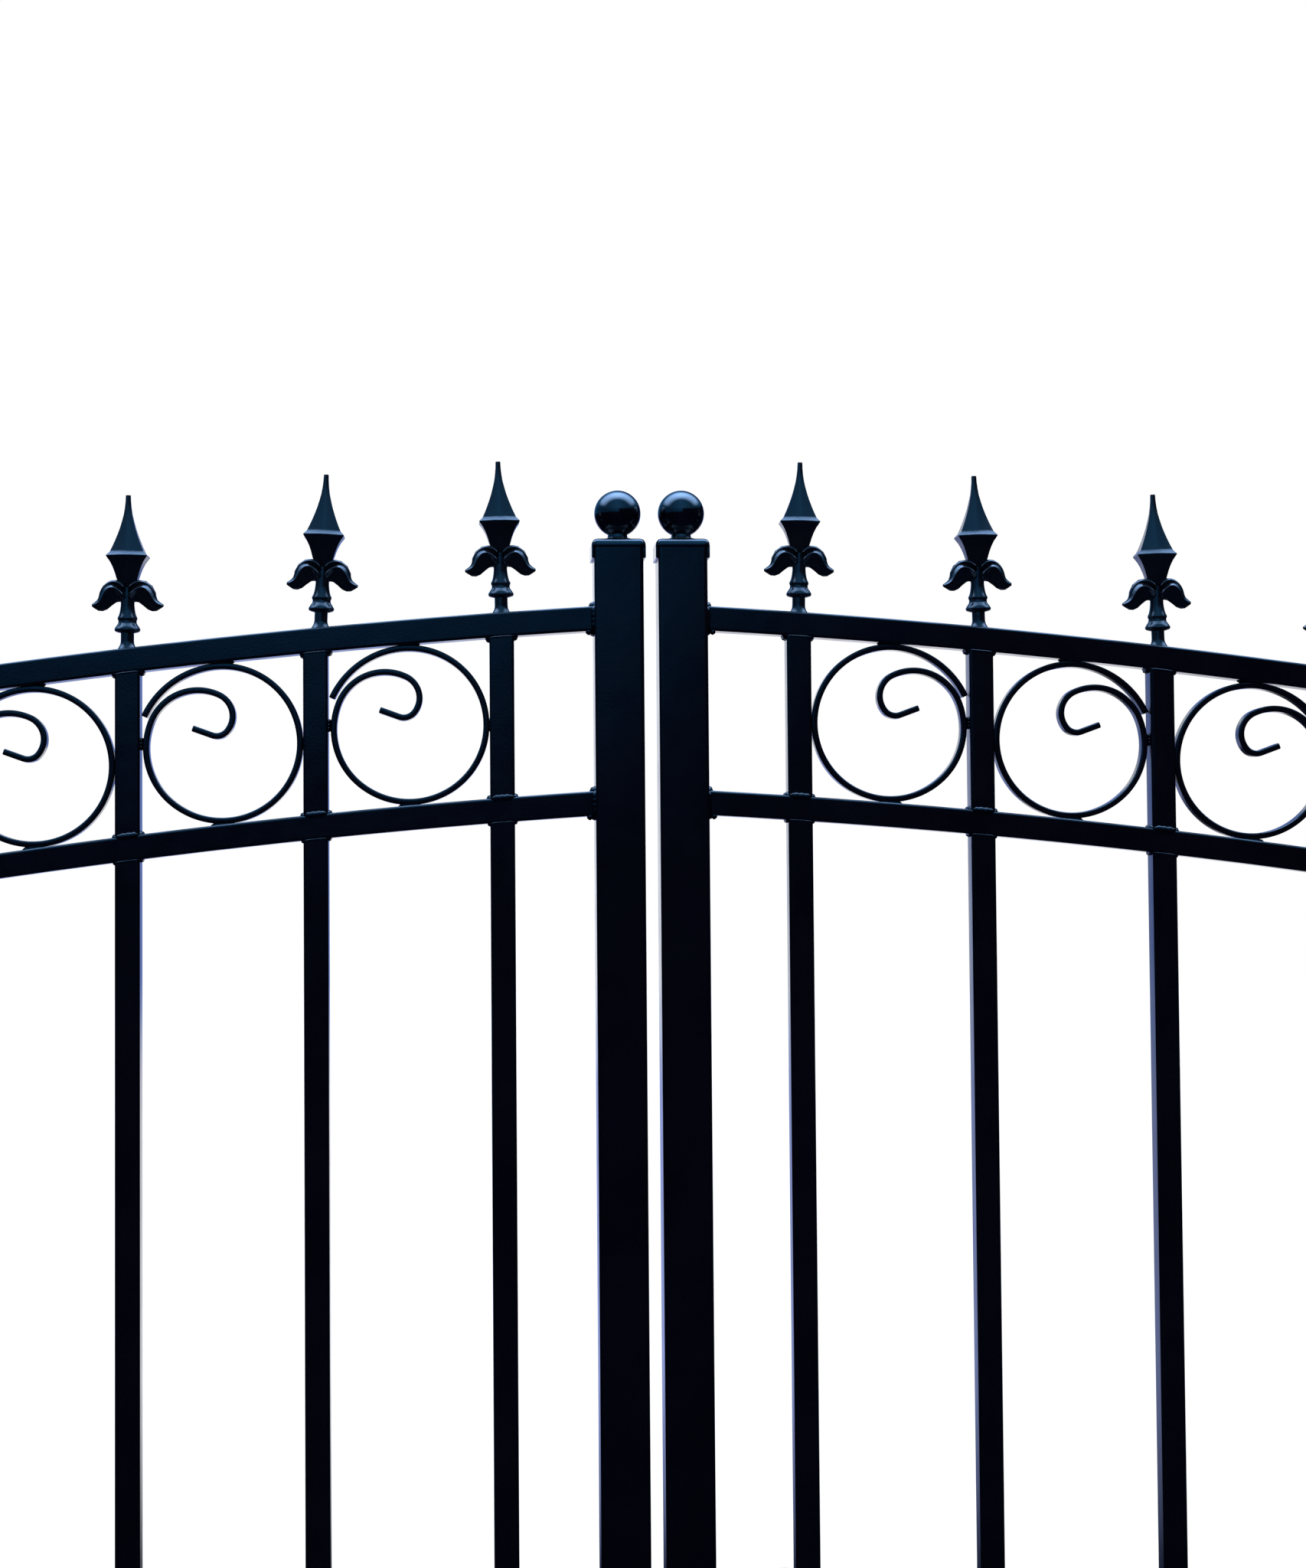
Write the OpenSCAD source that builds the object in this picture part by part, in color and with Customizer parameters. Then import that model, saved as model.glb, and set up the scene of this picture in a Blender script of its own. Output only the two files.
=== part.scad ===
// Pair of arched steel garden gates with ring scrolls and spear finials, hung between two posts.
// X runs across the opening, +Y is the garden side that the leaves open towards, and Z is up.
// The origin is on the ground, in the middle of the opening.

/* [Overall] */
// Height of the top rail's upper edge at the meeting stile
rail_top_h = 1700; // [1200:10:2000]
// Clear height between the ground and the foot of a stile
ground_gap = 60; // [55:1:100]
// Gap between the two meeting stiles
meeting_gap = 12; // [8:1:20]
// Upright bars in each leaf
bar_count = 5; // [3:1:6]
// Centre to centre of two neighbouring bars
bar_pitch = 150; // [120:1:190]
// Centre of a stile to the centre of the bar beside it
edge_bay = 95; // [75:1:140]

/* [Arch] */
// Radius of the top rail's upper edge
arch_r = 6300; // [4500:100:12000]
// Slope of the top rail where it meets the meeting stile, in degrees
arch_slope = 3.15; // [0:0.05:5]

/* [Tubes] */
// Side of the square tube of a bar or rail
bar_w = 20; // [16:1:25]
// Wall of a bar or rail
bar_wall = 1.5; // [1:0.1:2.5]
// Side of the square tube of a stile
stile_w = 40; // [36:1:50]
// Wall of a stile
stile_wall = 2; // [1.5:0.1:3]
// Height of a stile's tube above the top rail beside it
stile_rise = 52; // [30:1:90]
// Height of the bottom rail's lower face above the foot of a stile
bottom_rail_rise = 60; // [20:1:100]

/* [Ring scrolls] */
// Thickness of the flat bar, across the ring
scroll_t = 5; // [4:0.5:7]
// Depth of the flat bar, through the gate
scroll_d = 12; // [8:1:16]
// Straight end of the curl
curl_hook = 16.5; // [8:0.5:20]

/* [Caps] */
// Ball on a stile
stile_ball_d = 38; // [30:1:44]
// Neck under a stile's ball
stile_neck_d = 15.8; // [10:0.2:20]
// Ball on a post
post_ball_d = 64; // [50:1:80]
// Neck under a post's ball
post_neck_d = 26; // [18:1:34]

/* [Finials] */
// Height of a finial
finial_h = 125.6; // [110:0.2:150]
// Widest part of the spear head
spear_w = 33; // [26:0.5:40]
// Thickness of the leaves, through the gate
leaf_d = 11; // [8:0.5:14]

/* [Posts] */
// Side of the square tube of a post
post_w = 80; // [60:1:100]
// Wall of a post
post_wall = 3; // [2:0.5:5]
// Height of a post's tube above the ground
post_h = 1700; // [1600:10:2200]
// Side of a base plate
plate_w = 180; // [170:2:240]
// Thickness of a base plate
plate_t = 10; // [8:1:15]
// Hole to hole on a base plate
anchor_pitch = 130; // [124:1:140]
// Anchor bolt hole
anchor_d = 14; // [10:0.5:18]

/* [Hinges] */
// Hinge pin
pin_d = 16; // [12:1:18]
// Clearance between the pin and its eye, on the radius
pin_play = 0.1; // [0.05:0.01:0.1]
// Outside of the hinge eye
eye_d = 28; // [26:1:32]
// Length of the hinge eye
eye_h = 40; // [30:1:60]
// Hinge axis to the face of the hinge stile
eye_reach = 20; // [18:1:30]
// Spare gap between the stile and the post's bracket when the leaf is square to the opening
swing_play = 7; // [3:1:15]
// Underside of the lower hinge's washer
lower_hinge_z = 230; // [180:5:400]
// Underside of the upper hinge's washer, below the top rail's upper edge at the hinge stile
upper_hinge_drop = 227; // [200:1:400]

/* [Bolts] */
// Drop bolt
drop_bolt_d = 14; // [10:1:16]
// Length of a drop bolt
drop_bolt_len = 458; // [430:1:700]
// Travel of a drop bolt
drop_throw = 34; // [20:1:36]
// Latch bolt
latch_d = 12; // [8:1:14]
// Travel of the latch bolt
latch_throw = 45; // [42:1:50]
// Height of the latch
latch_z = 890; // [700:10:1100]
// Clearance round a bolt in its guides, on the radius
bolt_play = 0.3; // [0.2:0.05:0.5]

/* [Hidden] */
$fn = 48;
SIDES = ["left", "right"];
LEAF_NODES = ["meeting_stile", "hinge_stile", "top_rail", "scroll_rail", "bottom_rail", "upper_bars",
              "finials", "meeting_stile_cap", "hinge_stile_cap", "stile_plugs", "hinge_eyes",
              "bolt_guides", "drop_bolt"];
POST_NODES = ["gate_post", "post_cap", "base_plate", "hinge_pintles", "hinge_washers"];

COAT = [0.02, 0.03, 0.07];
CASTING = [0.03, 0.04, 0.09];
ZINC = [0.62, 0.64, 0.66];
NYLON = [0.85, 0.85, 0.82];
PLUG = [0.06, 0.06, 0.06];

weld_gap = 0.1;        // root gap that a weld bead bridges
weld_sink = 1;         // depth that one piece of a welded fitting runs into another
through = 1;           // length that a cut runs past the face it opens
far = 4000;            // longer than anything in the gate
corner_steps = 4;      // facets round a tube's corner
arch_steps = 24;       // facets along an arched rail
cut_steps = 8;         // facets along a cut that follows the arch
arc_step = 9;          // degrees in each facet of a ring scroll
bar_r = 2;             // outside corner of a bar's tube
stile_r = 3;           // outside corner of a stile's tube
post_r = 4;            // outside corner of a post's tube
least_r = 0.3;         // smallest inside corner of a tube

// Places across the opening, outward from the middle. The left side is the mirror of the right.
stile_x = meeting_gap / 2 + stile_w / 2;
function bar_x(i) = stile_x + edge_bay + (i - 1) * bar_pitch;
hinge_stile_x = bar_x(bar_count) + edge_bay;
pivot_x = hinge_stile_x + stile_w / 2 + eye_reach;
bracket_t = 5;
post_face_x = pivot_x + stile_w / 2 + swing_play + bracket_t;
post_x = post_face_x + post_w / 2;
rail_x0 = stile_x + stile_w / 2;
rail_x1 = hinge_stile_x - stile_w / 2;

// Both arched rails share one centre, past the middle of the gate.
arch_x = stile_x - arch_r * sin(arch_slope);
arch_z = rail_top_h - arch_r * cos(arch_slope);
function arch(x, drop = 0) = arch_z + sqrt(pow(arch_r - drop, 2) - pow(x - arch_x, 2));

// The rings fill the bays between the bars, so the rails stand one bay apart too.
bay = bar_pitch - bar_w;
ring_od = bay - 2 * weld_gap;
scroll_rail_drop = bar_w + bay;
stile_foot = ground_gap;
bottom_rail_z = stile_foot + bottom_rail_rise;

// Fittings on the garden side of the stiles
stile_back = stile_w / 2;
guide_t = 16;
guide_w = 24;
guide_d = 28;
drop_stand = 16;       // drop bolt's axis off the back of the stile
drop_y = stile_back + drop_stand;
low_guide_z = 160;
high_guide_z = 420;
socket_w = 25;
socket_wall = 3;
socket_h = 28;
keeper_t = 6;
tip_clearance = 8;
tip_z = keeper_t + socket_h + tip_clearance;
latch_plate_t = 4;
latch_stand = 10;      // latch bolt's axis off its plate
latch_y = stile_back + latch_plate_t + latch_stand;
latch_guide_w = 18;
latch_inset = 2;       // plate's end to the edge of the stile, and guide to the end of the plate
latch_plate_x0 = stile_x - stile_w / 2 + latch_inset;
latch_plate_len = 100;
latch_plate_h = 50;

module on_side(side) {
    if (side == "left") mirror([1, 0, 0]) children();
    else children();
}

// A shape drawn in X and Z, made d thick about the gate's middle plane
module through_gate(d) {
    translate([0, d / 2, 0]) rotate([90, 0, 0]) linear_extrude(d) children();
}

function round_square(w, r) = [
    for (q = [0 : 3]) for (k = [0 : corner_steps])
        let (a = 90 * q + 90 * k / corner_steps, c = w / 2 - r,
             sx = (q == 0 || q == 3) ? 1 : -1, sy = (q < 2) ? 1 : -1)
        [sx * c + r * cos(a), sy * c + r * sin(a)]];

// Square tube standing on the origin
module square_tube(w, wall, h, r) {
    linear_extrude(h) difference() {
        polygon(round_square(w, r));
        polygon(round_square(w - 2 * wall, max(r - wall, least_r)));
    }
}

// Everything between two lines that follow the arch, for a cut or a rail
function arch_band(x0, x1, top_drop, low_drop) = concat(
    [for (k = [0 : arch_steps]) let (x = x0 + (x1 - x0) * k / arch_steps) [x, arch(x, top_drop)]],
    [for (k = [arch_steps : -1 : 0]) let (x = x0 + (x1 - x0) * k / arch_steps) [x, arch(x, low_drop)]]);

module arched_rail(drop) {
    difference() {
        through_gate(bar_w) polygon(arch_band(rail_x0, rail_x1, drop, drop + bar_w));
        through_gate(bar_w - 2 * bar_wall)
            polygon(arch_band(rail_x0 - through, rail_x1 + through,
                              drop + bar_wall, drop + bar_w - bar_wall));
    }
}

// What lies above (or below) the arch line at this drop, near x
module beyond_arch(x, drop, above) {
    reach = 2 * bar_w;
    edge = arch(x, drop) + (above ? far : -far);
    through_gate(reach) polygon(concat(
        [for (k = [0 : cut_steps]) let (u = x - reach + 2 * reach * k / cut_steps) [u, arch(u, drop)]],
        [[x + reach, edge], [x - reach, edge]]));
}

module meeting_stile() {
    color(COAT) translate([stile_x, 0, stile_foot])
        square_tube(stile_w, stile_wall, arch(stile_x) + stile_rise - stile_foot, stile_r);
}

module hinge_stile() {
    color(COAT) translate([hinge_stile_x, 0, stile_foot])
        square_tube(stile_w, stile_wall, arch(hinge_stile_x) + stile_rise - stile_foot, stile_r);
}

module top_rail() {
    color(COAT) arched_rail(0);
}

module scroll_rail() {
    color(COAT) arched_rail(scroll_rail_drop);
}

module bottom_rail() {
    color(COAT) translate([rail_x0, 0, bottom_rail_z + bar_w / 2]) rotate([0, 90, 0])
        square_tube(bar_w, bar_wall, rail_x1 - rail_x0, bar_r);
}

// Bar from the bottom rail up to the scroll rail, its top cut to the arch
module lower_bar(i) {
    x = bar_x(i);
    foot = bottom_rail_z + bar_w + weld_gap;
    color(COAT) difference() {
        translate([x, 0, foot])
            square_tube(bar_w, bar_wall, arch(x, scroll_rail_drop) - foot, bar_r);
        beyond_arch(x, scroll_rail_drop + bar_w + weld_gap, true);
    }
}

// Short bars between the two arched rails, cut to the arch at both ends
module upper_bars() {
    color(COAT) for (i = [1 : bar_count]) {
        x = bar_x(i);
        foot = arch(x, scroll_rail_drop + bar_w);
        difference() {
            translate([x, 0, foot]) square_tube(bar_w, bar_wall, arch(x) - foot, bar_r);
            beyond_arch(x, bar_w + weld_gap, true);
            beyond_arch(x, scroll_rail_drop - weld_gap, false);
        }
    }
}

// The ring scroll is a spiral of arcs, each tangent to the next: tail, ring, and four that tighten
// into the curl. Radii are shares of the ring's own radius, and turns are where each arc begins.
scroll_shares = [1.12, 1, 0.926, 0.64, 0.304, 0.176];
scroll_turns = [24.5, 80, 310, 381.6, 475.3, 579.6, 650];
ring_r = ring_od / 2 - scroll_t / 2;
function scroll_r(k) = ring_r * scroll_shares[k];
function dir(a) = [cos(a), sin(a)];
function scroll_centre(k) =
    k == 0 ? (scroll_r(1) - scroll_r(0)) * dir(scroll_turns[1]) :
    k == 1 ? [0, 0] :
    scroll_centre(k - 1) + (scroll_r(k - 1) - scroll_r(k)) * dir(scroll_turns[k]);
function scroll_steps(k) = ceil((scroll_turns[k + 1] - scroll_turns[k]) / arc_step);
function scroll_edge(side) = [
    for (k = [0 : 5]) for (j = [(k == 0 ? 0 : 1) : scroll_steps(k)])
        scroll_centre(k) + (scroll_r(k) + side * scroll_t / 2)
            * dir(scroll_turns[k] + (scroll_turns[k + 1] - scroll_turns[k]) * j / scroll_steps(k))];
function backwards(list) = [for (k = [len(list) - 1 : -1 : 0]) list[k]];

module ring_scroll(i) {
    x = bar_x(i) + bar_pitch / 2;
    hook = curl_hook * dir(scroll_turns[6] + 90);
    outer = scroll_edge(1);
    inner = scroll_edge(-1);
    color(COAT) translate([x, 0, arch(x, bar_w + bay / 2)]) through_gate(scroll_d)
        polygon(concat(outer, [outer[len(outer) - 1] + hook, inner[len(inner) - 1] + hook],
                       backwards(inner)));
}

// Half widths of the spear head at each height above its lower neck, up to the blunt tip
spear_z = 56;
spear_widest = 20.5;
spear_profile = [[0, 9], [9, 11], [16, 14], [spear_widest, spear_w / 2], [24, 13.8], [30, 11],
                 [38, 8], [47, 5.1], [56, 3], [63, 2.1], [finial_h - spear_z, 2]];
module spear_side(d) {
    through_gate(d) translate([0, spear_z]) polygon(concat(
        [for (p = spear_profile) [p[1], p[0]]],
        backwards([for (p = spear_profile) [-p[1], p[0]]])));
}

// Leaf of a finial: a disc hollowed under its curl and squared off at the stem, and a flicked tip
curl_at = [11, 45];
curl_r = 12;
curl_eye = [9.5, 40.5];
curl_eye_r = 5.5;
curl_cut = [[-9, 21], [15, 39]];
leaf_tip = [[11, 33], [21, 33.5], [28.7, 36.5], [28.2, 38.5], [22, 41]];
module finial_leaf() {
    through_gate(leaf_d) {
        difference() {
            translate(curl_at) circle(curl_r);
            translate(curl_eye) circle(curl_eye_r);
            translate(curl_cut[0]) square(curl_cut[1] - curl_cut[0]);
        }
        polygon(leaf_tip);
    }
}

// Turned stem of a finial, each length as [height, lower diameter, upper diameter, length]
stem_turns = [[0, 15, 10.6, 4], [0, 10.6, 10.6, 16], [14.4, 20.7, 20.7, 7], [20, 16, 16, 8],
              [27, 15.5, 11.6, 6], [32, 11.6, 11.6, 24], [52, 11.6, 17.6, 5]];
module finial() {
    intersection() {
        spear_side(spear_w);
        rotate([0, 0, 90]) spear_side(spear_w);
    }
    for (t = stem_turns) translate([0, 0, t[0]]) cylinder(d1 = t[1], d2 = t[2], h = t[3]);
    finial_leaf();
    mirror([1, 0, 0]) finial_leaf();
}

module finials() {
    color(CASTING) for (i = [1 : bar_count]) {
        x = bar_x(i);
        difference() {
            translate([x, 0, arch(x) - weld_sink]) finial();
            beyond_arch(x, -weld_gap, false);
        }
    }
}

// Pressed cap with a ball, its plate resting on the end of a square tube
module ball_cap(w, ball_d, neck_d, skirt, dome) {
    sheet = 2;
    play = 0.2;
    neck_show = 2.5;
    out = w + 2 * sheet;
    ball_z = sheet + dome + neck_show + sqrt(pow(ball_d / 2, 2) - pow(neck_d / 2, 2));
    difference() {
        translate([-out / 2, -out / 2, sheet - skirt]) cube([out, out, skirt]);
        translate([-w / 2 - play, -w / 2 - play, -skirt]) cube([w + 2 * play, w + 2 * play, skirt]);
    }
    intersection() {
        through_gate(out) dome_side(out, sheet, dome);
        rotate([0, 0, 90]) through_gate(out) dome_side(out, sheet, dome);
    }
    translate([0, 0, sheet]) cylinder(d = neck_d, h = ball_z - sheet);
    translate([0, 0, ball_z]) sphere(d = ball_d);
}

// Low arched top of a cap: a flat rim, then a shallow rise to the neck
module dome_side(out, sheet, dome) {
    shoulder = 0.8;
    half = [[out / 2, sheet / 2], [out / 2, sheet],
            [out / 4, sheet + dome * shoulder], [out / 8, sheet + dome]];
    polygon(concat(half, backwards([for (p = half) [-p[0], p[1]]])));
}

module stile_cap(x) {
    color(CASTING) translate([x, 0, arch(x) + stile_rise])
        ball_cap(stile_w, stile_ball_d, stile_neck_d, 8, 3);
}

module meeting_stile_cap() {
    stile_cap(stile_x);
}

module hinge_stile_cap() {
    stile_cap(hinge_stile_x);
}

// Moulded plugs that close the feet of the two stiles
module stile_plugs() {
    flange = 2;
    depth = 18;
    play = 0.2;
    inner = stile_w - 2 * (stile_wall + play);
    color(PLUG) for (x = [stile_x, hinge_stile_x]) translate([x, 0, stile_foot - flange]) {
        linear_extrude(flange) polygon(round_square(stile_w, stile_r));
        translate([-inner / 2, -inner / 2, flange / 2]) cube([inner, inner, flange / 2 + depth]);
    }
}

hinge_zs = [lower_hinge_z, arch(hinge_stile_x) - upper_hinge_drop];
washer_t = 2;

// Eyes welded to the hinge stile, each bored to turn on its pin
module hinge_eyes() {
    arm_w = 14;
    color(COAT) for (z = hinge_zs) translate([pivot_x, 0, z + washer_t]) difference() {
        union() {
            cylinder(d = eye_d, h = eye_h);
            translate([-eye_reach, -arm_w / 2, 0]) cube([eye_reach, arm_w, eye_h]);
        }
        translate([0, 0, -through]) cylinder(d = pin_d + 2 * pin_play, h = eye_h + 2 * through);
    }
}

// Brackets welded to the post, each with a lug and a standing pin
module hinge_pintles() {
    bracket_w = 60;
    bracket_up = 20;
    bracket_down = 40;
    lug_t = 12;
    lug_w = 24;
    pin_show = 6;
    color(COAT) for (z = hinge_zs) translate([pivot_x, 0, z]) {
        translate([post_face_x - bracket_t - pivot_x, -bracket_w / 2, -bracket_down])
            cube([bracket_t, bracket_w, bracket_up + bracket_down]);
        translate([0, -lug_w / 2, -lug_t]) cube([post_face_x - weld_sink - pivot_x, lug_w, lug_t]);
        translate([0, 0, -lug_t]) cylinder(d = lug_w, h = lug_t);
        translate([0, 0, -weld_sink]) cylinder(d = pin_d, h = weld_sink + washer_t + eye_h + pin_show);
    }
}

module hinge_washers() {
    washer_d = 24;
    play = 0.3;
    color(NYLON) for (z = hinge_zs) translate([pivot_x, 0, z]) difference() {
        cylinder(d = washer_d, h = washer_t);
        translate([0, 0, -through]) cylinder(d = pin_d + 2 * play, h = washer_t + 2 * through);
    }
}

module gate_post() {
    color(COAT) translate([post_x, 0, plate_t]) square_tube(post_w, post_wall, post_h - plate_t, post_r);
}

module post_cap() {
    color(CASTING) translate([post_x, 0, post_h]) ball_cap(post_w, post_ball_d, post_neck_d, 12, 5);
}

module base_plate() {
    color(COAT) translate([post_x, 0, 0]) difference() {
        translate([-plate_w / 2, -plate_w / 2, 0]) cube([plate_w, plate_w, plate_t]);
        for (sx = [-1, 1]) for (sy = [-1, 1])
            translate([sx * anchor_pitch / 2, sy * anchor_pitch / 2, -through])
                cylinder(d = anchor_d, h = plate_t + 2 * through);
    }
}

// Bored blocks on the back of the meeting stile that guide the drop bolt
module bolt_guides() {
    color(COAT) for (z = [low_guide_z, high_guide_z]) difference() {
        translate([stile_x - guide_w / 2, stile_back, z]) cube([guide_w, guide_d, guide_t]);
        translate([stile_x, drop_y, z - through])
            cylinder(d = drop_bolt_d + 2 * bolt_play, h = guide_t + 2 * through);
    }
}

// Drop bolt, drawn up: a rod with a stop collar above the lower guide and a handle under the upper
module drop_bolt() {
    lead = 3;
    lead_d = drop_bolt_d - 4;
    collar_d = drop_bolt_d + 8;
    collar_h = 12;
    handle_d = 10;
    handle_len = 62;
    clear = 2;
    color(ZINC) translate([stile_x, drop_y, 0]) {
        translate([0, 0, tip_z]) cylinder(d1 = lead_d, d2 = drop_bolt_d, h = lead);
        translate([0, 0, tip_z + lead]) cylinder(d = drop_bolt_d, h = drop_bolt_len - lead);
        translate([0, 0, low_guide_z + guide_t + drop_throw + clear / 2])
            cylinder(d = collar_d, h = collar_h);
        translate([0, 0, high_guide_z - handle_d / 2 - clear]) rotate([0, 90, 0])
            cylinder(d = handle_d, h = handle_len);
    }
}

// Plate on the back of the right meeting stile, with two bored guides for the latch bolt
latch_guides_x = [latch_plate_x0 + latch_inset,
                  latch_plate_x0 + latch_plate_len - latch_guide_w - latch_inset];
module latch_plate() {
    guide_y = stile_back + latch_plate_t - weld_sink;
    guide_deep = 2 * latch_stand + weld_sink;
    color(COAT) difference() {
        union() {
            translate([latch_plate_x0, stile_back, latch_z - latch_plate_h / 2])
                cube([latch_plate_len, latch_plate_t, latch_plate_h]);
            for (x = latch_guides_x) translate([x, guide_y, latch_z - guide_w / 2])
                cube([latch_guide_w, guide_deep, guide_w]);
        }
        translate([latch_plate_x0 - through, latch_y, latch_z]) rotate([0, 90, 0])
            cylinder(d = latch_d + 2 * bolt_play, h = latch_plate_len + 2 * through);
    }
}

// Latch bolt, drawn back: a rod with a knobbed handle between its guides
module latch_bolt() {
    handle_d = 8;
    handle_len = 34;
    knob_d = 14;
    clear = 2;
    tail = 10;
    handle_x = latch_guides_x[1] - handle_d / 2 - clear;
    color(ZINC) {
        translate([latch_plate_x0, latch_y, latch_z]) rotate([0, 90, 0])
            cylinder(d = latch_d, h = latch_plate_len + tail);
        translate([handle_x, latch_y, latch_z]) rotate([-90, 0, 0])
            cylinder(d = handle_d, h = handle_len);
        translate([handle_x, latch_y + handle_len, latch_z]) sphere(d = knob_d);
    }
}

// Loop on the back of the left meeting stile that the latch bolt shoots into
module latch_keeper() {
    bite = 1;              // how far short of the loop's end the bolt stops
    loop_x = latch_plate_x0 - latch_throw + bite;
    loop_len = 20;
    loop_h = 28;
    loop_t = 4;
    slack = 2;
    droop = 0.5;           // extra height each way, for a leaf that has sagged
    hole = latch_d + 2 * slack;
    color(COAT) difference() {
        translate([loop_x, stile_back, latch_z - loop_h / 2])
            cube([loop_len, latch_y - stile_back + hole / 2 + loop_t, loop_h]);
        translate([loop_x - through, latch_y - hole / 2, latch_z - hole / 2 - droop])
            cube([loop_len + 2 * through, hole, hole + 2 * droop]);
    }
}

// Plate in the ground: two square sockets for the drop bolts and an upstand that stops the leaves
keeper_w = 160;
keeper_front = 7.5;    // plate beyond the upstand
keeper_back = 15.5;    // plate beyond the sockets
keeper_inset = 12;     // screw hole to the plate's edges
keeper_hole_d = 10;
stop_gap = 0.5;
stop_t = 8;
stop_h = 85;
stop_w = 80;
stop_y = -stile_back - stop_gap - stop_t;
keeper_y = [stop_y - keeper_front, drop_y + socket_w / 2 + keeper_back];
module ground_keeper() {
    inner = socket_w - 2 * socket_wall;
    color(COAT) difference() {
        union() {
            translate([-keeper_w / 2, keeper_y[0], 0]) cube([keeper_w, keeper_y[1] - keeper_y[0], keeper_t]);
            translate([-stop_w / 2, stop_y, keeper_t - weld_sink])
                cube([stop_w, stop_t, stop_h - keeper_t + weld_sink]);
            for (s = [-1, 1])
                translate([s * stile_x - socket_w / 2, drop_y - socket_w / 2, keeper_t - weld_sink])
                    cube([socket_w, socket_w, socket_h + weld_sink]);
        }
        for (s = [-1, 1]) {
            translate([s * stile_x - inner / 2, drop_y - inner / 2, keeper_t])
                cube([inner, inner, socket_h + through]);
            for (y = [keeper_y[0] + keeper_inset, keeper_y[1] - keeper_inset])
                translate([s * (keeper_w / 2 - keeper_inset), y, -through])
                    cylinder(d = keeper_hole_d, h = keeper_t + 2 * through);
        }
    }
}

for (s = SIDES) {
    on_side(s) meeting_stile();
    on_side(s) hinge_stile();
    on_side(s) top_rail();
    on_side(s) scroll_rail();
    on_side(s) bottom_rail();
    on_side(s) upper_bars();
    on_side(s) finials();
    on_side(s) meeting_stile_cap();
    on_side(s) hinge_stile_cap();
    on_side(s) stile_plugs();
    on_side(s) hinge_eyes();
    on_side(s) bolt_guides();
    on_side(s) drop_bolt();
    on_side(s) gate_post();
    on_side(s) post_cap();
    on_side(s) base_plate();
    on_side(s) hinge_pintles();
    on_side(s) hinge_washers();
    for (i = [1 : bar_count])
        on_side(s) lower_bar(i);
    for (i = [1 : bar_count - 1])
        on_side(s) ring_scroll(i);
}
latch_plate();
latch_bolt();
latch_keeper();
ground_keeper();
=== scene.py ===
"""Looks of a pair of arched steel garden gates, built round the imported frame.

X runs across the opening, +Y is the garden side, Z is up, and everything is in metres.
"""

import math

import bmesh
import bpy
from mathutils import Matrix, Vector
from mathutils.bvhtree import BVHTree


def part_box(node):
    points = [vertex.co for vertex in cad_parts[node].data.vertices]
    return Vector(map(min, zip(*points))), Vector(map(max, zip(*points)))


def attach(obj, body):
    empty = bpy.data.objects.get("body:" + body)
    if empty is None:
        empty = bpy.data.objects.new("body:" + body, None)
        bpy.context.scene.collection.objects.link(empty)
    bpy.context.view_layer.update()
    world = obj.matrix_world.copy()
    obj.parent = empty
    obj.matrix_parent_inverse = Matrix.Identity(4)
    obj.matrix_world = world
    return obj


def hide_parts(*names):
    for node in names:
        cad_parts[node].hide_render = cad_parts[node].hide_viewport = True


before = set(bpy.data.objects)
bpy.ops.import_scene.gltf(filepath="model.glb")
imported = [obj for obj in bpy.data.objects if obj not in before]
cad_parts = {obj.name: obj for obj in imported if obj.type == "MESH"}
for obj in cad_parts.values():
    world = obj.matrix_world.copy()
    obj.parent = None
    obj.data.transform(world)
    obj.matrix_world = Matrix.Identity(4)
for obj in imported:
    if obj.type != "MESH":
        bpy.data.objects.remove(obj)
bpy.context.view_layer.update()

MM = 0.001
SIDES = {"left": -1, "right": 1}
BAR_COUNT = sum(name.startswith("left_lower_bar_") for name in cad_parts)
RING_COUNT = BAR_COUNT - 1

# Clean-up of the frame's loose triangles: points this near are one, and so are faces this flat
SAME_POINT = 0.002 * MM
SAME_FACE_DEGREES = 0.1
HAIR = 0.01 * MM
# A height above everything, from where the rails' upper faces are looked for
HIGH_UP = 5
TUBE_CORNER = 2 * MM

# Ring scroll: the flat bar and its rounded edges, shares of the ring's radius, the turn where each arc
# begins and the last one ends, and the straight hook after it
FLAT_T = 5 * MM
FLAT_EDGE = 1.3 * MM
CUT_EDGE = 0.7 * MM
SCROLL_SHARES = (1.12, 1, 0.926, 0.64, 0.304, 0.176)
SCROLL_TURNS = (24.5, 80, 310, 381.6, 475.3, 579.6, 650)
CURL_HOOK = 16.5 * MM
SPIN_STEP = 3.0

# Finial: (radius, height) up the turned stem, from the weld on the rail to inside the leaves
STEM = ((8.2, -0.6), (7.7, 0.6), (6.9, 2.0), (6.0, 3.6), (5.5, 5.2), (5.3, 7.0), (5.3, 13.4),
        (7.6, 13.9), (9.7, 14.6), (10.4, 15.8), (10.3, 16.8), (9.2, 18.6), (7.8, 20.6), (7.4, 21.4),
        (7.3, 23.2), (7.6, 23.8), (8.0, 24.8), (7.8, 26.0), (7.1, 27.2), (6.4, 29.4), (5.9, 32.0),
        (5.5, 35.5), (5.4, 45.0), (4.6, 52.0))
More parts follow.
